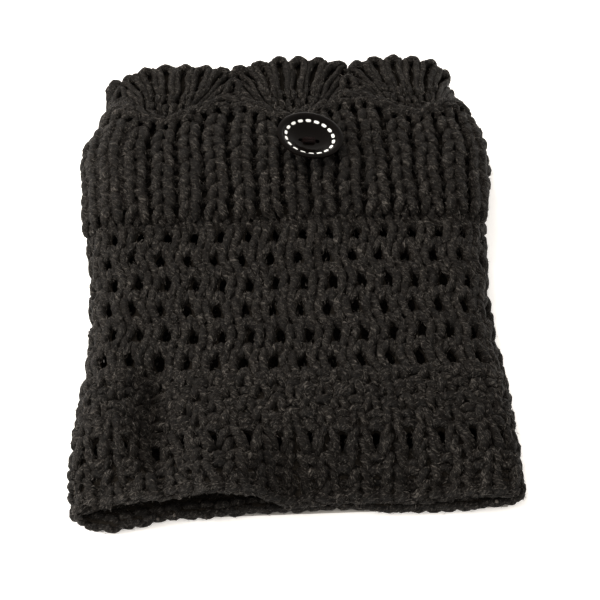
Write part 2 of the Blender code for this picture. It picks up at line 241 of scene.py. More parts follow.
def mesh_object(name, points, faces, material, corner_uv=None, tone=None):
    """A smooth mesh from points in mm and a list of face arrays. UVs are given for its first corners only."""
    mesh = bpy.data.meshes.new(name)
    mesh.vertices.add(len(points))
    mesh.vertices.foreach_set("co", (np.asarray(points) * MM).astype(np.float32).ravel())
    loops = np.concatenate([f.ravel() for f in faces]).astype(np.int32)
    totals = np.concatenate([np.full(len(f), f.shape[1]) for f in faces]).astype(np.int32)
    mesh.loops.add(len(loops))
    mesh.loops.foreach_set("vertex_index", loops)
    mesh.polygons.add(len(totals))
    mesh.polygons.foreach_set("loop_start", np.concatenate([[0], np.cumsum(totals)[:-1]]).astype(np.int32))
    mesh.polygons.foreach_set("loop_total", totals)
    mesh.polygons.foreach_set("use_smooth", np.ones(len(totals), bool))
    if corner_uv is not None:
        uv = np.zeros((len(loops), 2), np.float32)
        uv[: len(corner_uv)] = corner_uv
        mesh.uv_layers.new(name="strand").data.foreach_set("uv", uv.ravel())
    if tone is not None:
        mesh.attributes.new("tone", "FLOAT", "POINT").data.foreach_set("value", tone.astype(np.float32))
    mesh.update(calc_edges=True)
    mesh.validate()
    mesh.materials.append(material)
    return in_scene(name, mesh)


def connect(material, socket, value):
    """Links a socket to the one given, or sets its value."""
    if isinstance(value, bpy.types.NodeSocket):
        material.node_tree.links.new(value, socket)
    else:
        socket.default_value = value


def surface(material, name, value):
    connect(material, material.node_tree.nodes["Principled BSDF"].inputs[name], value)


def new_material(name, colour, roughness):
    material = bpy.data.materials.new(name)
    material.use_nodes = True
    surface(material, "Base Color", (*colour, 1))
    surface(material, "Roughness", roughness)
    return material


def node(material, kind, inputs=(), **settings):
    """Adds a node to a material, sets it up and links or sets its inputs."""
    made = material.node_tree.nodes.new("ShaderNode" + kind)
    for key, value in settings.items():
        setattr(made, key, value)
    for key, value in dict(inputs).items():
        connect(material, made.inputs[key], value)
    return made


def maths(material, operation, *values):
    return node(material, "Math", enumerate(values), operation=operation).outputs[0]


def noise(material, **inputs):
    return node(material, "TexNoise", inputs).outputs["Fac"]


def spanned(material, value, low, high, bottom=0.0, top=1.0):
    """Spreads the values between low and high over bottom to top."""
    span = {"Value": value, "From Min": low, "From Max": high, "To Min": bottom, "To Max": top}
    return node(material, "MapRange", span).outputs[0]


def mixed(material, share, first, second, **settings):
    colours = {"Factor": share, "A": first, "B": second}
    return node(material, "Mix", colours, data_type="RGBA", **settings).outputs["Result"]


def shaded(material, colour, shade):
    shades = node(material, "CombineXYZ", {0: shade, 1: shade, 2: shade}).outputs[0]
    return mixed(material, 1.0, colour, shades, blend_type="MULTIPLY")


def tone_of(material):
    return node(material, "Attribute", attribute_name="tone").outputs["Fac"]


def set_relief(material, height, strength, distance):
    bump = {"Strength": strength, "Distance": distance, "Height": height}
    surface(material, "Normal", node(material, "Bump", bump).outputs[0])


# The zones' levels from the hem up, and outer and inner depths of the wall under the yarn of each.
OPENWORK_LEVELS = [-53.0, -41.1, -28.4, -15.6, -3.2, 8.4, 19.7]
EYELETS_BOTTOM = -86.6
EYELETS_TOP = -77.0
EYELET_LEVEL = -81.8
HEM_WALL = (2.4, 3.9)
DENSE_WALL = (2.5, 4.0)
OPENWORK_WALL = (2.3, 3.4)
RIB_WALL = (4.3, 5.2)
FAN_WALL = (2.6, 3.6)
FAN_WALL_THINS = 0.7  # at its edge
WALL_INSIDE_HEM = 1.2
WALL_PAST_SCALLOPS = 1.5
WALL_ABOVE_TABLE = 0.4
WALL_PER_REPEAT = 4
HOLE_STAGGER = 0.14
HOLE_DROP = 1.0  # how far the holes lie below the middle between two rows
HOLE_SIZE = (0.17, 3.8)  # half width in repeats, half length
EYELET_SIZE = (0.19, 3.2)
# Painted shading of the wall's outer side, where it shows in the depth between the strands: a factor on its
# colour for each zone
HEM_PAINTED_SHADING = 1.3
OPENWORK_PAINTED_SHADING = 0.7
RIB_PAINTED_SHADING = 0.35
FAN_PAINTED_SHADING = 0.5
UNDERSIDE = (8, 22)  # first and last column of the underside, where the weight of the cuff closes the holes
UNDERSIDE_SHARE = (0.24, 0.36)
RIB_STAND = 2.0
FAN_WALL_STAND = 1.0


def stagger(level):
    """How far the openwork's columns sway aside, in repeats: to the right and left in turn, row by row."""
    middles = [(low + high) / 2 for low, high in zip(OPENWORK_LEVELS, OPENWORK_LEVELS[1:])]
    knots = [OPENWORK_LEVELS[0]] + middles + [OPENWORK_LEVELS[-1] + 4]
    sways = [0.0] + [HOLE_STAGGER if row % 2 else -HOLE_STAGGER for row in range(6)] + [0.0]
    return np.interp(level, knots, sways)


def inner_wall(material):
    count = REPEATS * WALL_PER_REPEAT
    rows = []  # (levels by column, outer depth, inner depth, painted shading of the outer side, stand)
    hole_rows = {}
    repeats = np.arange(count) / WALL_PER_REPEAT

    quarters = (0.0, 0.25, 0.5, 0.75)

    def add(level, wall, tone, stand=0.0):
        rows.append((np.broadcast_to(np.asarray(level, float), (count,)), *wall, tone, stand))

    hem = hem_level(repeats) + WALL_INSIDE_HEM
    for share in (0.0, 0.08, 0.25, 0.5, 0.75):
        add(hem + (EYELETS_BOTTOM - hem) * share, HEM_WALL, HEM_PAINTED_SHADING)
    hole_rows[len(rows)] = (EYELET_LEVEL, EYELET_SIZE, 0.0)
    for share in quarters:
        add(EYELETS_BOTTOM + (EYELETS_TOP - EYELETS_BOTTOM) * share, HEM_WALL, OPENWORK_PAINTED_SHADING)
    for level in np.linspace(EYELETS_TOP, OPENWORK_LEVELS[0], 9)[:-1]:
        add(level, DENSE_WALL, HEM_PAINTED_SHADING)
    for low, high in zip(OPENWORK_LEVELS, OPENWORK_LEVELS[1:]):
        middle = (low + high) / 2
        hole_rows[len(rows)] = (middle - HOLE_DROP, HOLE_SIZE, stagger(middle))
        for share in quarters:
            add(low + (high - low) * share, OPENWORK_WALL, OPENWORK_PAINTED_SHADING)
    foot = fan_foot_level(repeats)
    for share in np.linspace(0, 1, 17)[:-1]:
        add(OPENWORK_LEVELS[-1] + (foot - OPENWORK_LEVELS[-1]) * share, RIB_WALL, RIB_PAINTED_SHADING, RIB_STAND)
    edge = scallop_level(repeats) + WALL_PAST_SCALLOPS
    for share in np.linspace(0, 1, 9):
        wall = (FAN_WALL[0], FAN_WALL[1] - FAN_WALL_THINS * share**4)
        add(foot + (edge - foot) * share, wall, FAN_PAINTED_SHADING, FAN_WALL_STAND)

    points, tones, quads = [], [], []
    for side in (0, 1):
        for level, outer, inner, tone, stand in rows:
            sway = np.where((level > OPENWORK_LEVELS[0]) & (level < OPENWORK_LEVELS[-1]), stagger(level), 0)
            depth, rise = (inner - stand, 0.0) if side else (outer, stand)
            points += list(on_cloth(repeats + sway, level, depth, rise)[0])
            tones += [1.0 if side else tone] * count

    def knot(side, row, column):
        return (side * len(rows) + row) * count + column % count

    def both_sides(corners_of):
        for side in (0, 1):
            corners = corners_of(side)
            quads.append(corners[::-1] if side else corners)

    in_hole_cell = set()
    for first, (middle, size, sway) in hole_rows.items():
        _, outer, inner, tone, _ = rows[first]
        for k in range(REPEATS):
            pinch = UNDERSIDE_SHARE if UNDERSIDE[0] <= k <= UNDERSIDE[1] else (1.0, 1.0)
            c0 = k * WALL_PER_REPEAT - WALL_PER_REPEAT // 2
            ring = [(first, c0 + i) for i in range(4)] + [(first + i, c0 + 4) for i in range(4)]
            ring += [(first + 4, c0 + 4 - i) for i in range(4)] + [(first + 4 - i, c0) for i in range(4)]
            in_hole_cell.update((first + i, (c0 + j) % count) for i in range(4) for j in range(4))
            # The hole is a pointed oval.
            along, aside = unit(np.array(ring) - (first + 2, c0 + 2)).T
            place = k + sway + size[0] * pinch[0] * aside * (1 - 0.25 * along**2)
            rims = []
            for side in (0, 1):
                rims.append(len(points) + np.arange(16))
                level = middle + size[1] * pinch[1] * along
                points += list(on_cloth(place, level, inner if side else outer)[0])
                tones += [1.0 if side else tone] * 16
            for i in range(16):
                j = (i + 1) % 16
                near, far = ring[i], ring[j]
                both_sides(lambda side: [knot(side, *near), knot(side, *far), rims[side][j], rims[side][i]])
                quads.append([rims[0][i], rims[0][j], rims[1][j], rims[1][i]])
    last = len(rows) - 1
    for c in range(count):
        for r in range(last):
            if (r, c) not in in_hole_cell:
                cell = ((r, c), (r, c + 1), (r + 1, c + 1), (r + 1, c))
                both_sides(lambda side: [knot(side, *place) for place in cell])
        quads.append([knot(1, 0, c), knot(1, 0, c + 1), knot(0, 0, c + 1), knot(0, 0, c)])
        quads.append([knot(0, last, c), knot(0, last, c + 1), knot(1, last, c + 1), knot(1, last, c)])
    points = np.array(points)
    points[:, 2] = np.maximum(points[:, 2], WALL_ABOVE_TABLE)
    used, corners = np.unique(np.array(quads), return_inverse=True)
    return mesh_object(
        "inner_wall", points[used], [corners.reshape(-1, 4)], material, tone=np.array(tones)[used]
    )


def inside_cloth(name, colour):
    """The inside shows the same yarn in small close loops. The outer side lies deep between the strands, and
    its colour is scaled by each zone's painted shading.
    """
    material = new_material(name, colour, 0.95)
    place = node(material, "NewGeometry").outputs["Position"]
    cells = {"Vector": place, "Scale": 260.0, "Randomness": 0.6}
    loops = node(material, "TexVoronoi", cells, feature="F1").outputs["Distance"]
    fibres = noise(material, Vector=place, Scale=1800.0, Detail=3.0)
    height = maths(material, "SUBTRACT", maths(material, "MULTIPLY", fibres, 0.3), loops)
    set_relief(material, height, 0.9, 0.0016)
    dark, light = (*[c * 0.6 for c in colour], 1), (*[c * 1.5 for c in colour], 1)
    cloth = mixed(material, spanned(material, fibres, 0.35, 0.7), dark, light)
    # Painted shade: the tone attribute darkens the outer side by its zone's factor, and lightens it at the
    # hem.
    surface(material, "Base Color", shaded(material, cloth, tone_of(material)))
    surface(material, "Specular IOR Level", 0.0)
    return material


wall = inner_wall(inside_cloth("inside of the knit", (0.0135, 0.0115, 0.0093)))
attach(wall, "root")

# ----------------------------------------
# The hem. Knitted first, in chunky plied yarn: a chain edge, a row of posts with pits between them, a close
# purled row, and one row of eyelets pointed at their lower end. It lifts off the back in one wide wave.

YARN_SIDES = 8
YARN_TURN = 2 * math.pi * np.arange(YARN_SIDES) / YARN_SIDES
PLIES = 3
PLY_TURN = 8.5  # mm of yarn for one turn of its plies
PLY_RELIEF = 0.045
YARN_UNEVEN = 0.07
YARN_PRESSED = 0.6  # height below which the table presses the yarn flat
REPEAT_WIDTH = 10.5
uneven = np.random.default_rng(21)


def spread(count, samples):
    """Weights that draw a smooth strand of some samples through count points."""
    places = np.linspace(0, count - 1, samples)
    weights = np.zeros((samples, count))
    for row, place in enumerate(places):
        first = min(int(place), count - 2)
        t = place - first
        near = (-0.5 * t**3 + t**2 - 0.5 * t, 1.5 * t**3 - 2.5 * t**2 + 1)
        far = (-1.5 * t**3 + 2 * t**2 + 0.5 * t, 0.5 * t**3 - 0.5 * t**2)
        for offset, weight in enumerate(near + far):
            weights[row, min(max(first - 1 + offset, 0), count - 1)] += weight
    return weights


def strands(repeats, levels, shape, samples=11, mirror=1.0, jitter=1.0, stand=0.0, half=(1.6, 1.5), tip=0.35):
    """Like strands at many places: shape lists their points as (across, along, depth) in millimetres."""
    repeats, levels = np.broadcast_arrays(np.asarray(repeats, float), np.asarray(levels, float))
    across, along, depth = (spread(len(shape), samples) @ np.array(shape, float)).T
    number = len(repeats)
    shift = uneven.normal(size=(number, 3)) * np.array([0.2, 0.28, 0.14]) * jitter
    lean = uneven.normal(size=(number, 1)) * 0.05 * jitter
    across = across * mirror + shift[:, :1] + lean * along
    repeats, levels = repeats[:, None] + across / REPEAT_WIDTH, levels[:, None] + along + shift[:, 1:2]
    path = np.stack([repeats, levels, depth + shift[:, 2:]], axis=-1)
    plump = 1 + uneven.normal(size=number) * 0.06 * jitter
    return {"path": path, "stand": stand, "half": half, "tip": tip, "plump": plump}


def repeated(faces, number, block):
    """The same faces for each of a number of like blocks of points."""
    faces = faces.reshape(-1, faces.shape[-1])
    return (block * np.arange(number)[:, None, None] + faces).reshape(-1, faces.shape[-1])


def tubes(middle, forward, aside, half, size, run, reach):
    """Closed tubes round lines of points: their rings, points, side and end faces, and the sides' UVs."""
    number, samples = middle.shape[:2]
    ring = (
        middle[:, :, None]
        + aside[:, :, None] * (half[0] * size * np.cos(YARN_TURN))[..., None]
        + np.cross(aside, forward)[:, :, None] * (half[1] * size * np.sin(YARN_TURN))[..., None]
    )
    ends = np.stack([middle[:, 0] - forward[:, 0] * reach, middle[:, -1] + forward[:, -1] * reach], axis=1)
    points = np.concatenate([ring.reshape(number, -1, 3), ends], axis=1)
    s, k = np.arange(YARN_SIDES), np.arange(samples - 1)[:, None] * YARN_SIDES
    after, last, tip = (s + 1) % YARN_SIDES, (samples - 1) * YARN_SIDES, 0 * s + samples * YARN_SIDES
    sides = np.stack([k + s, k + YARN_SIDES + s, k + YARN_SIDES + after, k + after], axis=-1)
    tips = np.array([(tip, s, after), (tip + 1, last + after, last + s)]).swapaxes(1, 2)
    around = np.stack([s, s, s + 1, s + 1], axis=-1) / YARN_SIDES
    run = np.stack([run[:, :-1], run[:, 1:], run[:, 1:], run[:, :-1]], axis=-1)[:, :, None] / PLY_TURN
    uv = np.stack(np.broadcast_arrays(around, run), axis=-1).reshape(-1, 2)
    faces = [repeated(f, number, points.shape[1]) for f in (sides, tips)]
    return ring, points.reshape(-1, 3), faces, uv


FIBRES_A_STRAND = 9
fibre_roots = []


def gather_fibres(ring, middle, forward):
    """Chooses places on the outer half of each strand where a loose fibre stands off, with its directions."""
    number, samples, sides = ring.shape[:3]
    strand = np.repeat(np.arange(number), FIBRES_A_STRAND)
    place = uneven.integers(1, samples - 1, len(strand))
    side = uneven.integers(0, sides // 2 + 1, len(strand))
    root = ring[strand, place, side]
    fibre_roots.append(np.stack([root, unit(root - middle[strand, place]), forward[strand, place]], axis=1))


def as_yarn(piece):
    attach(piece, "root")
    return piece


def lay_yarn(name, groups, material, sway=False):
    """Lays strands on the cloth as closed, plied tubes with rounded ends."""
    start, all_points, all_faces, all_uv, tones = 0, [], [], [], []
    for group in groups:
        path, half, tip = group["path"], group["half"], group["tip"]
        number, samples = path.shape[:2]
        repeat = path[..., 0] + (stagger(path[..., 1]) if sway else 0)
        middle, normal = on_cloth(repeat, path[..., 1], path[..., 2], group["stand"])
        forward = unit(np.gradient(middle, axis=1))
        aside = unit(np.cross(forward, normal))
        steps = np.linalg.norm(np.diff(middle, axis=1), axis=-1)
        length = np.concatenate([np.zeros((number, 1)), np.cumsum(steps, axis=1)], axis=1)
        phase = uneven.uniform(0, 1, (number, 1))
        lobes = PLIES * (YARN_TURN - 2 * math.pi * (length / PLY_TURN + phase)[..., None])
        t = np.linspace(-1, 1, samples)[:, None]
        body = tip + (1 - tip) * np.sqrt(np.clip(1 - np.abs(t) ** 3.2, 0, 1))
        size = body * group["plump"][:, None, None] * (1 + PLY_RELIEF * np.cos(lobes))
        size = size * (1 + group.get("taper", 0.0) * t) * (1 + YARN_UNEVEN * uneven.normal(size=lobes.shape))
        run = length + 40 * phase
        ring, points, faces, uv = tubes(middle, forward, aside, half, size, run, tip * half[0] * 0.6)
        gather_fibres(ring, middle, forward)
        all_points.append(points)
        all_faces.append([f + start for f in faces])
        all_uv.append(uv)
        tones.append(np.repeat(uneven.normal(size=number), len(points) // number))
        start += len(points)
    points = np.concatenate(all_points)
    height = points[:, 2]
    pressed = YARN_PRESSED * np.exp((height - YARN_PRESSED) / YARN_PRESSED)
    points[:, 2] = np.where(height < YARN_PRESSED, pressed, height)
    faces = [np.concatenate(kind) for kind in zip(*all_faces)]
    return as_yarn(mesh_object(name, points, faces, material, np.concatenate(all_uv), np.concatenate(tones)))


def plied_yarn(name, colour, pale_fleck_and_glint=(0.103, 0.093, 0.082)):
    """Dark heathered yarn: plies with a groove between them that is darkened as painted shade, fine fibres
    along each ply, and paler flecks that are partly pale fibres and partly painted glints.
    """
    material = new_material(name, colour, 0.6)
    strand = node(material, "UVMap", uv_map="strand").outputs[0]
    around, run, _ = node(material, "SeparateXYZ", {0: strand}).outputs
    tone = tone_of(material)
    # Plies wind round the strand: their place across is what is left after the winding is taken out.
    wound = maths(material, "SUBTRACT", around, run)
    ply = maths(material, "COSINE", maths(material, "MULTIPLY", wound, 2 * math.pi * PLIES))

    def streaks(across, along, detail):
        """Noise drawn out along the fibres, so many times round the strand and along one turn."""
        across, along = maths(material, "MULTIPLY", wound, across), maths(material, "MULTIPLY", run, along)
        place = node(material, "CombineXYZ", {0: across, 1: along, 2: tone}).outputs[0]
        return noise(material, Vector=place, Scale=1.0, Detail=detail, Roughness=0.65, Distortion=1.6)

    fibre, fleck_and_glint = streaks(22.0, 8.0, 4.0), streaks(17.0, 8.0, 1.0)
    height = maths(material, "MULTIPLY_ADD", fibre, 2.0, maths(material, "MULTIPLY", ply, 0.15))
    set_relief(material, height, 1.0, 0.0008)
    dark, light = (*[c * 0.15 for c in colour], 1), (*[c * 1.9 for c in colour], 1)
    body = mixed(material, spanned(material, fibre, 0.38, 0.64), dark, light)
    # The pale flecks are partly pale fibres of the yarn and partly painted glints.
    with_flecks_and_glints = mixed(material, spanned(material, fleck_and_glint, 0.56, 0.7), body, (*pale_fleck_and_glint, 1))
    # Painted shade: the grooves between the plies are darkened in colour, and each strand's random tone
    # shifts it too.
    painted_groove_shade = maths(material, "MULTIPLY", ply, 0.12)
    lift = maths(material, "ADD", maths(material, "MULTIPLY_ADD", tone, 0.12, painted_groove_shade), 0.9)
    surface(material, "Base Color", shaded(material, with_flecks_and_glints, lift))
    surface(material, "Specular IOR Level", 0.12)
    return material


YARN_COLOUR = (0.0058, 0.0043, 0.0031)
yarn = plied_yarn("charcoal yarn", YARN_COLOUR)


def both_ways(*half):
    """A strand's shape from its points from one end to its middle."""
    return [(-across, along, depth) for across, along, depth in half] + [p for p in half[::-1] if p[0]]


# Each shape lists a strand's points as (across, along, depth), for the right-hand one of a pair.
PURL_BUMP = both_ways((2.8, -1.4, 3.6), (1.9, 0, 1.9), (0, 0.5, 1.3))
SMALL_LEG = [(0.3, 3.6, 3.4), (0.8, 2.5, 1.9), (1.5, 0.5, 1.5), (2, -1.5, 1.7), (2, -3.3, 3.3)]
EYELET_LEG = [
    (3.2, 3.9, 3.3), (3, 2.7, 1.9), (2.6, 1.1, 1.5), (2.1, -0.9, 1.5), (1.4, -3, 1.8), (0.6, -4.9, 3.2),
]
HEM_LEG = [
    (0.5, 3.4, 3.2), (1, 2.5, 1.9), (1.7, 0.8, 1.4), (2.5, -1.2, 1.6), (2.9, -2.7, 2.4), (2.8, -3.6, 3.6),
]
PIT_SIDE = [(3.6, 3.4, 3.4), (3.9, 1.6, 2), (3.6, -0.8, 1.7), (2.3, -2.5, 1.7), (0, -3.2, 1.8)]
PIT_FLOOR = both_ways((2.6, 1.2, 3.4), (1.6, 0.4, 2.9), (0, 0, 2.8))
HEM_BUMP = both_ways((2.5, -1.3, 3.2), (1.7, -0.1, 1.9), (0, 0.5, 1.35))
EDGE_BUMP = both_ways((2.9, 0.7, 3), (1.6, -0.1, 1.7), (0, -0.3, 1.45))
EDGE_UNDER = both_ways((2.9, 0.2, 3.2), (1.5, -0.3, 3), (0, -0.4, 2.9))
INSIDE_BUMP = both_ways((2.8, -0.8, 2.6), (1.6, 0.3, 3.7), (0, 0.6, 4))
HEM_STITCHES = 5
INSIDE_ROWS = 4
INSIDE_PITCH = 4.6
HALF_TUBE = 15
LAYERS = (("front", -7), ("back", 8))  # each with its first repeat


def hem_groups(first):
    """The hem's strands for the fifteen repeats from first on."""
    holes = first + np.arange(HALF_TUBE)
    posts = holes + 0.5
    halves = first - 0.25 + np.arange(2 * HALF_TUBE) / 2
    edge, hole_edge = hem_level(halves), hem_level(holes)
    groups = [
        strands(halves, edge + 1.9, EDGE_BUMP, 9, half=(1.6, 1.6)),
        strands(halves + 0.25, edge + 1.7, EDGE_UNDER, 9, half=(1.6, 1.3)),
        strands(holes, -88.9, HEM_BUMP, 9, half=(1.9, 1.6), jitter=1.8),
        strands(holes, -92.6, HEM_BUMP, 9, half=(1.9, 1.6), jitter=1.8),
        strands(holes, hole_edge + 7.4, PIT_FLOOR, 8, half=(1.5, 1.3)),
        strands(holes, hole_edge + 4.8, PIT_FLOOR, 8, half=(1.5, 1.3)),
        strands(holes, -77.6, PURL_BUMP, 9, half=(1.7, 1.5), jitter=1.5),
    ]
    for row in range(INSIDE_ROWS):
        levels = edge + 3.6 + INSIDE_PITCH * row
        groups.append(strands(halves + row % 2 / 4, levels, INSIDE_BUMP, 7, half=(1.5, 1.2)))
    bottom = hem_level(posts) + 4.2
    for side in (-1, 1):
        groups.append(strands(holes, EYELET_LEVEL, EYELET_LEG, 11, side, half=(1.5, 1.4)))
        groups.append(strands(holes, hole_edge + 6.4, PIT_SIDE, 9, side, half=(1.3, 1.35), jitter=1.5))
        for row in range(HEM_STITCHES):
            levels = bottom + (EYELETS_TOP - 2.4 - bottom) * row / (HEM_STITCHES - 1)
            groups.append(strands(posts, levels, HEM_LEG, 10, side, half=(1.6, 1.5), jitter=1.8))
    return groups


for layer, first in LAYERS:
    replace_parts(lay_yarn("hem_yarn_" + layer, hem_groups(first), yarn), "hem_" + layer)

# ----------------------------------------
# The dense band. Four close rows above the eyelets, worked as moss stitch: purl bumps and small knit stitches
# in turn, so that it has an even, pebbly surface with no holes.

DENSE_ROWS = 4


def dense_groups():
    pitch = (OPENWORK_LEVELS[0] - EYELETS_TOP) / DENSE_ROWS
    groups = []
    for row in range(DENSE_ROWS):
        level = EYELETS_TOP + pitch * (row + 0.5)
        bumps = row % 2 / 2 + np.arange(REPEATS)
        groups.append(strands(bumps, level + 0.8, PURL_BUMP, 9, half=(1.9, 1.6), jitter=1.4))
        groups.append(strands(bumps, level - 2.2, PURL_BUMP, 8, half=(1.6, 1.5), jitter=1.4))
        for side in (-1, 1):
            groups.append(strands(bumps + 0.5, level, SMALL_LEG, 9, side, half=(1.75, 1.6), jitter=1.4))
    return groups


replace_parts(lay_yarn("dense_yarn", dense_groups(), yarn), "dense_band")

# ----------------------------------------
# The openwork. Columns of plain stitches with a column of pointed holes between each two, every hole made by
# a yarn-over, with two legs that meet above it. The columns sway a little from row to row.

COLUMN_LEG = [
    (0.5, 5.2, 3.5), (1, 4, 2.1), (1.6, 1.8, 1.55), (1.75, -0.6, 1.5), (1.75, -3, 1.8), (1.5, -4.8, 3.4),
]
PLAIN_LEG = [
    (0.3, 3.8, 3.4), (0.8, 2.7, 2), (1.5, 0.8, 1.5), (2.1, -1.3, 1.6), (2.35, -2.9, 2.2), (2.1, -4, 3.6),
]
ROOF_LEG = [
    (0.4, 1.4, 3.4), (0.6, 0.2, 1.9), (0.95, -1.6, 1.4), (1.4, -3.3, 1.5), (2.3, -4.9, 2), (3, -6.2, 3.4),
]
TOP_ROW_SUNK = 1.1  # how much deeper the top row lies, under the ends of the ribs


def openwork_groups(first):
    holes = first + np.arange(HALF_TUBE)
    groups = []
    for side in (-1, 1):
        for low, high in zip(OPENWORK_LEVELS, OPENWORK_LEVELS[1:]):
            groups.append(strands(holes + 0.5, (low + high) / 2, COLUMN_LEG, 11, side, half=(1.7, 1.55)))
        for level in OPENWORK_LEVELS:
            sunk = {"stand": -TOP_ROW_SUNK if level == OPENWORK_LEVELS[-1] else 0.0}
            groups.append(strands(holes + 0.5, level + 0.3, PLAIN_LEG, 10, side, half=(1.65, 1.5), **sunk))
            groups.append(strands(holes, level + 0.6, ROOF_LEG, 11, side, half=(1.5, 1.4), **sunk))
    return groups


for layer, first in LAYERS:
    laid = lay_yarn("openwork_yarn_" + layer, openwork_groups(first), yarn, sway=True)
    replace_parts(laid, "openwork_" + layer)

# ----------------------------------------
# The rib band. Thirty thick knit columns stand proud, with a sunk purl column between each two. Seen from the
# hem each stitch is two plump legs that spread downwards, and the lowest pair spreads round the first holes.

RIB_PITCH = 6.9
RIB_TOP_GAP = 3.6
RIB_LEG = [
    (0.5, 4.6, 4), (1, 3.5, 2.5), (1.75, 1.6, 1.7), (2.4, -0.8, 1.5), (2.7, -3.1, 1.9), (2.5, -4.9, 3.8),
]
RIB_LAST_LEG = [
    (0.5, 4.6, 4), (1, 3.4, 2.5), (1.7, 1.4, 1.8), (2.4, -0.9, 1.5), (2.8, -3, 1.9), (2.9, -4.6, 4),
]
RIB_TOP_LEG = [(1.2, 4.2, 3.8), (1.9, 2.9, 2.3), (2.5, 0.9, 1.7), (2.8, -1.4, 1.7), (2.8, -3.4, 2.8)]
RIB_EYE = [(0, 3.4, 4), (0, 1.5, 3), (0, -1.4, 3.1), (0, -3.4, 4.2)]
RIB_HOLLOW = both_ways((1.9, -1.2, 5), (0.8, 0.4, 3.9))
# Round the side folds the ribs are pulled apart, and the strands that lie between them come to the front.
FOLD_RIBS = (7, 8, 9, 21, 22, 23)
RIB_BETWEEN = [(0.6, 4.2, 4), (0.9, 2.5, 2.8), (1.1, 0, 2.4), (0.9, -2.5, 2.8), (0.6, -4.2, 4)]


def rib_groups():
    """Each rib has whole stitches, so they are a little longer under the top of an arch."""
    bottom = OPENWORK_LEVELS[-1] + 6.0
    every = np.arange(REPEATS)
    tops = fan_foot_level(every) - RIB_TOP_GAP
    ribs, levels = [], []
    for rib, top in zip(every, tops):
        number = round((top - bottom) / RIB_PITCH)
        ribs += [rib] * (number - 1)
        levels += [bottom + (top - bottom) * (row + 1) / number for row in range(number - 1)]
    ribs, levels = np.array(ribs), np.array(levels)

    def rib_strands(places, heights, shape, samples, half, side=1.0):
        groups.append(strands(places, heights, shape, samples, side, stand=RIB_STAND, half=half))

    groups = []
    for side in (-1, 1):
        rib_strands(every, bottom, RIB_LAST_LEG, 12, (1.85, 1.7), side)
        rib_strands(ribs, levels, RIB_LEG, 12, (2.05, 1.85), side)
        # Under the arch the top legs stand apart, with a dark eyelet between each two.
        rib_strands(every, tops, RIB_TOP_LEG, 10, (1.7, 1.6), side)
    folded = np.isin(ribs, FOLD_RIBS)
    for side in (-1, 1):
        for offset in (0.0, 0.5):
            rib_strands(ribs[folded] + offset, levels[folded] - 1.0, RIB_BETWEEN, 8, (1.9, 1.6), side)
    eyes, eye_levels = np.concatenate([ribs, every]), np.concatenate([levels, 0 * every + bottom]) - 2.9
    rib_strands(eyes, eye_levels, RIB_EYE, 6, (1.7, 1.3))
    rib_strands(ribs + 0.5, levels - 2.5, RIB_HOLLOW, 6, (1.6, 1.3))
    return groups


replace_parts(lay_yarn("rib_yarn", rib_groups(), yarn), "rib_band")

# ----------------------------------------
# The fan edging. Six fans of single strands spread from their feet between the ribs to a scalloped edge,
# which is bound off in small loops. Two strands side by side run in arches along the feet, from fan to fan.

LOOPS = 6  # in each fan's edge; every loop ends in two spokes, with a dark wedge between them
LOOP_SPREAD = 0.112  # half the way between its two spokes, in half widths of a fan
SPOKE_FOOT_SPREAD = 0.42
FAN_STAND = 1.2
EDGE_RISE = 2.2  # how far the strands' round ends reach past the wall's edge


def in_fans(tops, starts, ends, half, depth, samples, lean=0.0, sink=1.3, round_power=6, taper=0.0):
    """Strands of every fan that radiate from its focus.

    tops are their places along the edge, in half widths of a fan; starts and ends say which part of the way
    from foot to edge each takes up. lean moves its start aside, in half widths too, sink is how deep its ends
    lie under the others, and taper thins it towards its start.
    """
    share = np.linspace(0, 1, samples)[None]
    fan = np.repeat(np.arange(FANS), len(tops))[:, None]
    spans = [np.tile(np.broadcast_to(v, len(tops)), FANS)[:, None] for v in (tops, starts, ends, lean)]
    top, start, end, lean = spans
    way = start + (end - start) * share
    phase = top * (SPOKE_FOOT_SPREAD + (1 - SPOKE_FOOT_SPREAD) * way**0.92) + lean * (1 - share)
    wave = np.sin(share * 15 * (end - start) + 6 * uneven.uniform(size=fan.shape))
    phase = phase + uneven.normal(size=fan.shape) * 0.008 + 0.012 * wave
    repeat = (fan + phase / 2) * REPEATS / FANS
    foot, edge = fan_foot_level(repeat) + 1.0, scallop_level(repeat) + EDGE_RISE - 1.2
    tucked = np.abs(2 * share - 1) ** round_power * np.where((end > 0.95) & (share > 0.5), 0.0, 1.0)
    waver = 0.12 * np.sin(share * 22 + 6 * uneven.uniform(size=fan.shape))
    path = np.stack([repeat, foot + (edge - foot) * way, depth + sink * tucked + waver], axis=-1)
    plump = 1 + uneven.normal(size=len(fan)) * 0.07
    return {"path": path, "stand": FAN_STAND, "half": half, "tip": 0.5, "plump": plump, "taper": taper}


SPOKE_START = 0.38
BESIDE = [(1.13, 0.68), (1.4, 0.46), (1.66, 0.28)]  # where strands beside a valley aim, how far they get
# stitches in each row near the focus, the row's place, and how long its legs are
KNOTS = [(5, 0.37, 0.12), (4, 0.2, 0.12), (3, 0.06, 0.1)]
KNOT_SPREAD = 0.86


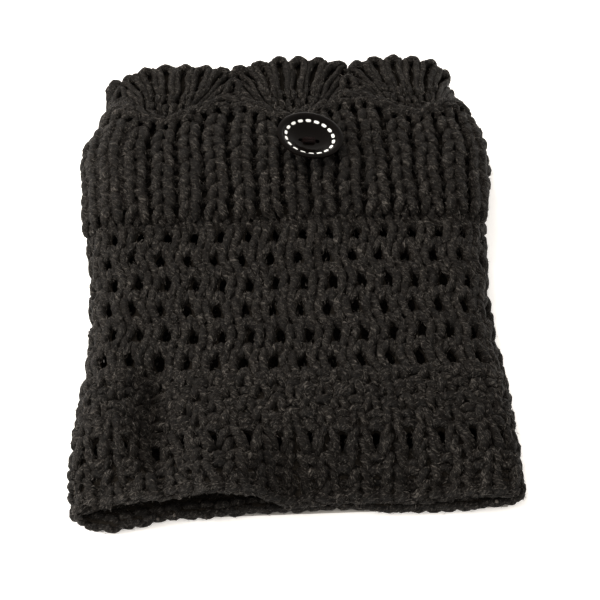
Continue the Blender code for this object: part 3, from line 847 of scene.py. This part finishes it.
def spoke_groups():
    loops = (2 * np.arange(LOOPS) + 1) / LOOPS - 1
    tops = np.sort(np.concatenate([loops - LOOP_SPREAD, loops + LOOP_SPREAD]))
    inner, outer = tops[1:-1], tops[[0, -1]]
    groups = [
        in_fans(inner, SPOKE_START, 1.0, (1.45, 1.6), 1.5, 13, taper=0.2),
        in_fans(outer, 0.0, 1.0, (1.2, 1.45), 1.3, 20, taper=0.14),
    ]
    for top, end in BESIDE:
        groups.append(in_fans(np.array([-top, top]), 0.0, end, (1.35, 1.35), 1.5, 13))
    for number, middle, reach in KNOTS:
        knots = KNOT_SPREAD * ((2 * np.arange(number) + 1) / number - 1)
        aside = KNOT_SPREAD / number
        for side in (-1, 1):
            start, end = max(middle - reach, 0.0), middle + reach
            places = knots + 0.55 * side * aside
            groups.append(in_fans(places, start, end, (1.15, 1.4), 0.9, 10, -0.2 * side * aside, 3.0, 2.2))
    return groups


ARCH_GRAINS = 7  # in each arch, for each of its two strands
ARCH_GRAIN_SAMPLES = 10


def arch_groups():
    """The two strands along the feet, drawn as grains that overlap and slant against each other."""
    groups = []
    number = FANS * ARCH_GRAINS
    for lift, lean, offset in ((1.3, 1.7, 0.5), (-1.4, -1.7, 0.0)):
        along = (np.arange(number) + offset) * REPEATS / number
        rise = np.linspace(-1, 1, ARCH_GRAIN_SAMPLES)[None]
        repeat = along[:, None] + 0.66 * REPEATS / number * rise
        slant = lean * rise * np.sign(np.sin(math.pi * fan_phase(along)))[:, None]
        level = fan_foot_level(repeat) + lift + slant + uneven.normal(size=(number, 1)) * 0.25
        path = np.stack([repeat, level, 0.9 + 2.2 * rise**4 + 0 * level], axis=-1)
        plump = 1 + uneven.normal(size=number) * 0.07
        groups.append({"path": path, "stand": 1.8, "half": (1.5, 1.5), "tip": 0.35, "plump": plump})
    return groups


EDGE_CAP = both_ways((3, -2.2, 2.2), (2, -0.5, 1.5), (0, 0.3, 1.1))
EDGE_LINK = both_ways((2.4, 0.4, 2.4), (1.2, -0.8, 1.9), (0, -1.2, 1.8))
# The short loop that stands in the valley between two fans, and the strand that hangs across below it.
VALLEY_LOOP = both_ways((3.4, -10, 2.6), (2.9, -5, 1.2), (2, -1.4, 0.9), (0, 0, 0.9))
VALLEY_SLING = both_ways((7, 2.4, 2.8), (4.2, 0.5, 1.6), (0, -0.6, 1.3))
VALLEY_LEVELS = (98.0, 88.6)


def edge_groups():
    """Short strands that join the spokes' round ends, and a loop and a sling in the valleys between fans."""
    number = FANS * LOOPS
    groups = []
    for offset, drop, shape, samples, half in (
        (0.5, 1.8, EDGE_CAP, 12, (1.85, 1.7)),
        (0.0, 1.7, EDGE_LINK, 9, (1.4, 1.3)),
    ):
        places = (np.arange(number) + offset) * REPEATS / number
        levels = scallop_level(places) + EDGE_RISE - drop
        groups.append(strands(places, levels, shape, samples, stand=FAN_STAND, half=half))
    valleys = (np.arange(FANS) + 0.5) * REPEATS / FANS
    for level, shape in zip(VALLEY_LEVELS, (VALLEY_LOOP, VALLEY_SLING)):
        groups.append(strands(valleys, level, shape, 16, stand=FAN_STAND, half=(1.55, 1.55)))
    return groups


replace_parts(lay_yarn("fan_yarn", spoke_groups() + arch_groups() + edge_groups(), yarn), "fan_edging")

# ----------------------------------------
# The fuzz. Loose acrylic fibres stand a little off every strand and catch the light; the paler ones are
# partly painted glints. Each is a fine closed needle with a bend in it, lying mostly along its strand.

FIBRE_HALF_WIDTH = 0.085
FIBRE_LENGTHS = (0.9, 2.6)
FUZZ_PARTED = 8.0  # height that parts the fuzz of the front from that of the back


def loose_fibres(name, roots, material):
    number = len(roots)
    root, away, forward = roots[:, 0], roots[:, 1], roots[:, 2]
    aside = np.cross(forward, away)
    length = uneven.uniform(*FIBRE_LENGTHS, (number, 1))
    way = uneven.choice([-1.0, 1.0], (number, 1))
    lean = uneven.normal(size=(number, 1)) * 0.9
    lift = uneven.uniform(0.02, 0.2, (number, 1))
    bow = uneven.normal(size=(number, 1)) * 0.12
    along = unit(way * forward + lean * aside)
    across = np.cross(along, away)
    bend = root + along * length * 0.5 + away * (0.12 + 0.4 * lift * length) + across * bow * length
    points = [root - away * 0.08]
    for turn in 2 * math.pi * np.arange(3) / 3:
        points.append(bend + FIBRE_HALF_WIDTH * (across * math.cos(turn) + away * math.sin(turn)))
    points.append(root + along * length + away * lift * length)
    points = np.stack(points, axis=1)
    points[..., 2] = np.maximum(points[..., 2], 0.15)
    needle = np.array([(0, 2, 1), (4, 1, 2), (0, 3, 2), (4, 2, 3), (0, 1, 3), (4, 3, 1)])
    faces, no_uv = [repeated(needle, number, 5)], np.zeros((0, 2))
    tone = np.repeat(uneven.normal(size=number), 5)
    as_yarn(mesh_object(name, points.reshape(-1, 3), faces, material, no_uv, tone))


# The fibres' colour runs at random from dark to pale; the pale end is partly painted glints.
fuzz = new_material("loose fibres", YARN_COLOUR, 0.5)
fibre_tone = spanned(fuzz, tone_of(fuzz), -1.2, 2.2)
surface(fuzz, "Base Color", mixed(fuzz, fibre_tone, (0.009, 0.0074, 0.006, 1), (0.16, 0.142, 0.125, 1)))

fuzz_roots = np.concatenate(fibre_roots)
on_front = fuzz_roots[:, 0, 2] > FUZZ_PARTED
loose_fibres("fuzz_of_front", fuzz_roots[on_front], fuzz)
loose_fibres("fuzz_of_back", fuzz_roots[~on_front], fuzz)

# ----------------------------------------
# The button. A 25 mm button of polished black plastic: a bowl with a round rim, leaning down to the right on
# the ribs. Eighteen white dashes are inlaid round it, and a bar of dark sewing yarn holds it by two holes.

BUTTON_ACROSS = 11.0
BUTTON_LEVEL = 55.8
BUTTON_TILT = math.radians(-4.0)
BUTTON_ROLL = math.radians(9.0)
BUTTON_LIFT = 0.7
BUTTON_HOLE_RADIUS = 1.05
BUTTON_HOLE_SPACING = 6.3
# radius, height: underside, rim, and the bowl in it
BUTTON_PROFILE = [
    (0, 0), (5, 0), (8.5, 0.9), (10.8, 2.2), (12.2, 3.2), (12.8, 3.8), (12.95, 4.25),
    (12.85, 4.6), (12.5, 4.8), (11.9, 4.9), (11.3, 4.85), (10.8, 4.6), (10.45, 4.15), (10.1, 3.75),
    (9.6, 3.45), (8.4, 3.05), (7.4, 2.6), (6.4, 2.1), (5.2, 1.65), (3.6, 1.35), (0, 1.25),
]
BUTTON_SIDES = 96


def turned(name, profile, material):
    """A turned piece. The first and last points of its profile lie on its axis."""
    angle = 2 * math.pi * np.arange(BUTTON_SIDES) / BUTTON_SIDES
    rings = [(r * np.cos(angle), r * np.sin(angle), 0 * angle + h) for r, h in profile[1:-1]]
    poles = [(0, 0, height) for radius, height in (profile[0], profile[-1])]
    points = np.concatenate([np.swapaxes(rings, 1, 2).reshape(-1, 3), poles])
    s = np.arange(BUTTON_SIDES)
    after, k = (s + 1) % BUTTON_SIDES, BUTTON_SIDES * np.arange(len(rings) - 1)[:, None]
    up = k + BUTTON_SIDES
    quads = np.stack([k + s, k + after, up + after, up + s], axis=-1).reshape(-1, 4)
    last, pole = BUTTON_SIDES * (len(rings) - 1), 0 * s + BUTTON_SIDES * len(rings)
    fans = [np.stack([pole, after, s], axis=-1), np.stack([last + s, last + after, pole + 1], axis=-1)]
    return mesh_object(name, points, [quads, np.concatenate(fans)], material)


def seat_on_ribs(piece):
    seat = front_height(BUTTON_ACROSS, BUTTON_LEVEL) + RIB_STAND + BUTTON_LIFT
    piece.location = (BUTTON_ACROSS * MM, BUTTON_LEVEL * MM, seat * MM)
    piece.rotation_euler = (BUTTON_TILT, BUTTON_ROLL, 0)
    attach(piece, "root")
    return piece


gloss = new_material("polished black", (0.0022, 0.0016, 0.0013), 0.15)
surface(gloss, "Specular IOR Level", 0.05)
scuffs = noise(gloss, Scale=900.0, Detail=3.0)
surface(gloss, "Roughness", spanned(gloss, scuffs, 0.3, 0.75, 0.1, 0.2))

button = turned("button_disc", BUTTON_PROFILE, gloss)
for sign in (-1, 1):
    place = (sign * BUTTON_HOLE_SPACING / 2 * MM, 0, 0)
    radius = BUTTON_HOLE_RADIUS * MM
    bpy.ops.mesh.primitive_cylinder_add(vertices=24, radius=radius, depth=12 * MM, location=place)
    drill = bpy.context.object
    bpy.context.view_layer.update()
    bore = button.modifiers.new("bore", "BOOLEAN")
    bore.operation = "DIFFERENCE"
    bore.solver = "EXACT"
    bore.object = drill
    bpy.context.view_layer.objects.active = button
    bpy.ops.object.modifier_apply(modifier="bore")
    bpy.data.objects.remove(drill, do_unlink=True)
button.data.set_sharp_from_angle(angle=math.radians(40))
seat_on_ribs(button)
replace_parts(button, "button")

DASHES = 18
DASH_RADIUS = 9.4
DASH_LENGTH = 2.15
DASH_WIDTH = 1.25
DASH_PROUD = 0.1
DASH_HEIGHT = 3.38
DASH_SLOPE = 0.34


def dash_ring(material):
    """Rounded bars: stretched ovals that are nearly square at their ends."""
    angle = 2 * math.pi * np.arange(12) / 12
    waves = ((DASH_LENGTH, np.cos(angle)), (DASH_WIDTH, np.sin(angle)))
    along, aside = (size / 2 * np.sign(wave) * np.abs(wave) ** 0.7 for size, wave in waves)
    turn = 2 * math.pi * (np.arange(DASHES) + 0.5)[:, None] / DASHES
    layers = []
    for shrink, height in ((1.0, -0.3), (1.0, DASH_PROUD * 0.5), (0.8, DASH_PROUD)):
        level = DASH_HEIGHT + DASH_SLOPE * aside * shrink + height
        layers.append((turn + along * shrink / DASH_RADIUS, DASH_RADIUS + aside * shrink, level))
    layers += [(turn, DASH_RADIUS, DASH_HEIGHT + height) for height in (-0.3, DASH_PROUD)]
    rings = [np.stack(np.broadcast_arrays(r * np.cos(a), r * np.sin(a), h), axis=-1) for a, r, h in layers]
    points = np.concatenate(rings, axis=1)
    i = np.arange(12)
    j = (i + 1) % 12
    quads = np.stack([j, i, i + 12, j + 12], axis=-1)
    fans = [np.stack([0 * i + 36, i, j], axis=-1), np.stack([0 * i + 37, j + 24, i + 24], axis=-1)]
    faces = [np.concatenate([quads, quads + 12]), np.concatenate(fans)]
    faces = [repeated(f, DASHES, points.shape[1]) for f in faces]
    return mesh_object("button_dashes", points.reshape(-1, 3), faces, material)


white = new_material("white inlay", (0.8, 0.8, 0.78), 0.4)
grain = noise(white, Scale=1500.0, Detail=2.0)
surface(white, "Base Color", mixed(white, grain, (0.72, 0.72, 0.7, 1), (0.9, 0.9, 0.88, 1)))
dashes = seat_on_ribs(dash_ring(white))

THREAD_COLOUR = (0.009, 0.0034, 0.0032)
thread_yarn = plied_yarn("sewing yarn", THREAD_COLOUR, (0.035, 0.016, 0.015))
THREAD_STRANDS = ((-0.75, 0.0), (0.75, 0.05), (0.0, 0.35))  # aside, up
THREAD_HALF = 0.7
THREAD_REACH = 2.2
THREAD_LEVEL = 1.75
THREAD_BEND = 0.62  # how far along each half the bar turns down into its hole
THREAD_SAMPLES = 16
THREAD_TURNS = 0.12  # of its plies, from each point to the next


def thread_bar(material):
    t = np.linspace(1, -1, THREAD_SAMPLES)
    out = THREAD_REACH * np.clip(t / 0.85, -1, 1) + 0.3 * np.sign(t) * ramp(0.8, 1.0, np.abs(t))
    down = 2.6 * ramp(THREAD_BEND, 1.0, np.abs(t))
    lines = [(out, aside + 0.1 * np.sin(3 * t), THREAD_LEVEL + up - down) for aside, up in THREAD_STRANDS]
    lines = np.swapaxes(lines, 1, 2)
    forward = unit(np.gradient(lines, axis=1))
    aside = np.broadcast_to((0.0, 1.0, 0.0), lines.shape)
    run = np.broadcast_to(THREAD_TURNS * PLY_TURN * np.arange(THREAD_SAMPLES)[::-1], lines.shape[:2])
    half, size = (THREAD_HALF, THREAD_HALF), np.ones((*lines.shape[:2], 1))
    _, points, faces, uv = tubes(lines, forward, aside, half, size, run, 0.0)
    return mesh_object("button_thread", points, faces, material, uv)


thread = seat_on_ribs(thread_bar(thread_yarn))

# ----------------------------------------
# The table, the light and the camera. A white table under broad, soft daylight from the upper left. The
# camera looks down at 50 degrees from the hem's side, a metre away, on the photograph's own framing.

table_top = new_material("white light table", (0.95, 0.95, 0.95), 0.9)
surface(table_top, "Emission Color", (1.0, 0.96, 0.91, 1))
surface(table_top, "Emission Strength", 0.4)
floor = mesh_object(
    "table",
    np.array([(-3000, -3000, 0), (3000, -3000, 0), (3000, 3000, 0), (-3000, 3000, 0)], float),
    [np.array([[0, 1, 2, 3]])],
    table_top,
)
floor.location.z = -0.0001

# The table gives no light under the cuff, so that none shows through its holes.
SHADE_INSET = 5.0
shade_level, shade_left, shade_right, _, _ = columns(SECTIONS)
shade_level = np.clip(shade_level, shade_level[0] + 6, shade_level[-1] - 12)
shade_sides = [shade_left + SHADE_INSET, shade_right - SHADE_INSET]
shade_points = np.concatenate([np.stack([side, shade_level, 0 * side], axis=1) for side in shade_sides])
rows = len(shade_level)
shade = mesh_object(
    "table_shade",
    shade_points,
    [np.array([[row, row + rows, row + rows + 1, row + 1] for row in range(rows - 1)])],
    new_material("shaded table", (0.6, 0.58, 0.55), 0.9),
)
shade.location.z = -0.00005

bpy.context.scene.view_settings.view_transform = "Standard"
world = bpy.data.worlds.new("soft light")
world.use_nodes = True
world.node_tree.nodes["Background"].inputs[0].default_value = (1.0, 0.955, 0.9, 1)
world.node_tree.nodes["Background"].inputs[1].default_value = 1.0
bpy.context.scene.world = world


def soft_box(name, place, width, watts, mirrored=True):
    lamp = bpy.data.lights.new(name, "AREA")
    lamp.shape = "SQUARE"
    lamp.size = width
    lamp.energy = watts
    lamp.color = (1.0, 0.96, 0.91)
    box = in_scene(name, lamp)
    box.location = place
    aim = -box.location.normalized()
    box.rotation_euler = aim.to_track_quat("-Z", "Y").to_euler()
    box.visible_glossy = mirrored


soft_box("key light", (-0.35, 0.75, 0.9), 0.5, 13.5, mirrored=False)
soft_box("side light", (-1.0, -0.1, 0.3), 0.4, 17.0)

CAMERA_DISTANCE = 1.0
CAMERA_HEIGHT_ANGLE = math.radians(50)
CAMERA_TURN = math.radians(2.5)
CAMERA_TARGET = (0.0047, -0.01335, 0.012)
PHOTO_SIZE = 600
PIXELS_PER_METRE = 1 / 0.000375
SENSOR = 36.0

camera_data = bpy.data.cameras.new("camera")
camera_data.sensor_width = SENSOR
camera_data.lens = SENSOR * CAMERA_DISTANCE * PIXELS_PER_METRE / PHOTO_SIZE
camera_data.clip_start = 0.05
camera = in_scene("camera", camera_data)
away = CAMERA_DISTANCE * math.cos(CAMERA_HEIGHT_ANGLE)
camera.location = (
    CAMERA_TARGET[0] - away * math.sin(CAMERA_TURN),
    CAMERA_TARGET[1] - away * math.cos(CAMERA_TURN),
    CAMERA_TARGET[2] + CAMERA_DISTANCE * math.sin(CAMERA_HEIGHT_ANGLE),
)
camera.rotation_euler = (math.pi / 2 - CAMERA_HEIGHT_ANGLE, 0, -CAMERA_TURN)
bpy.context.scene.camera = camera

bpy.context.view_layer.update()
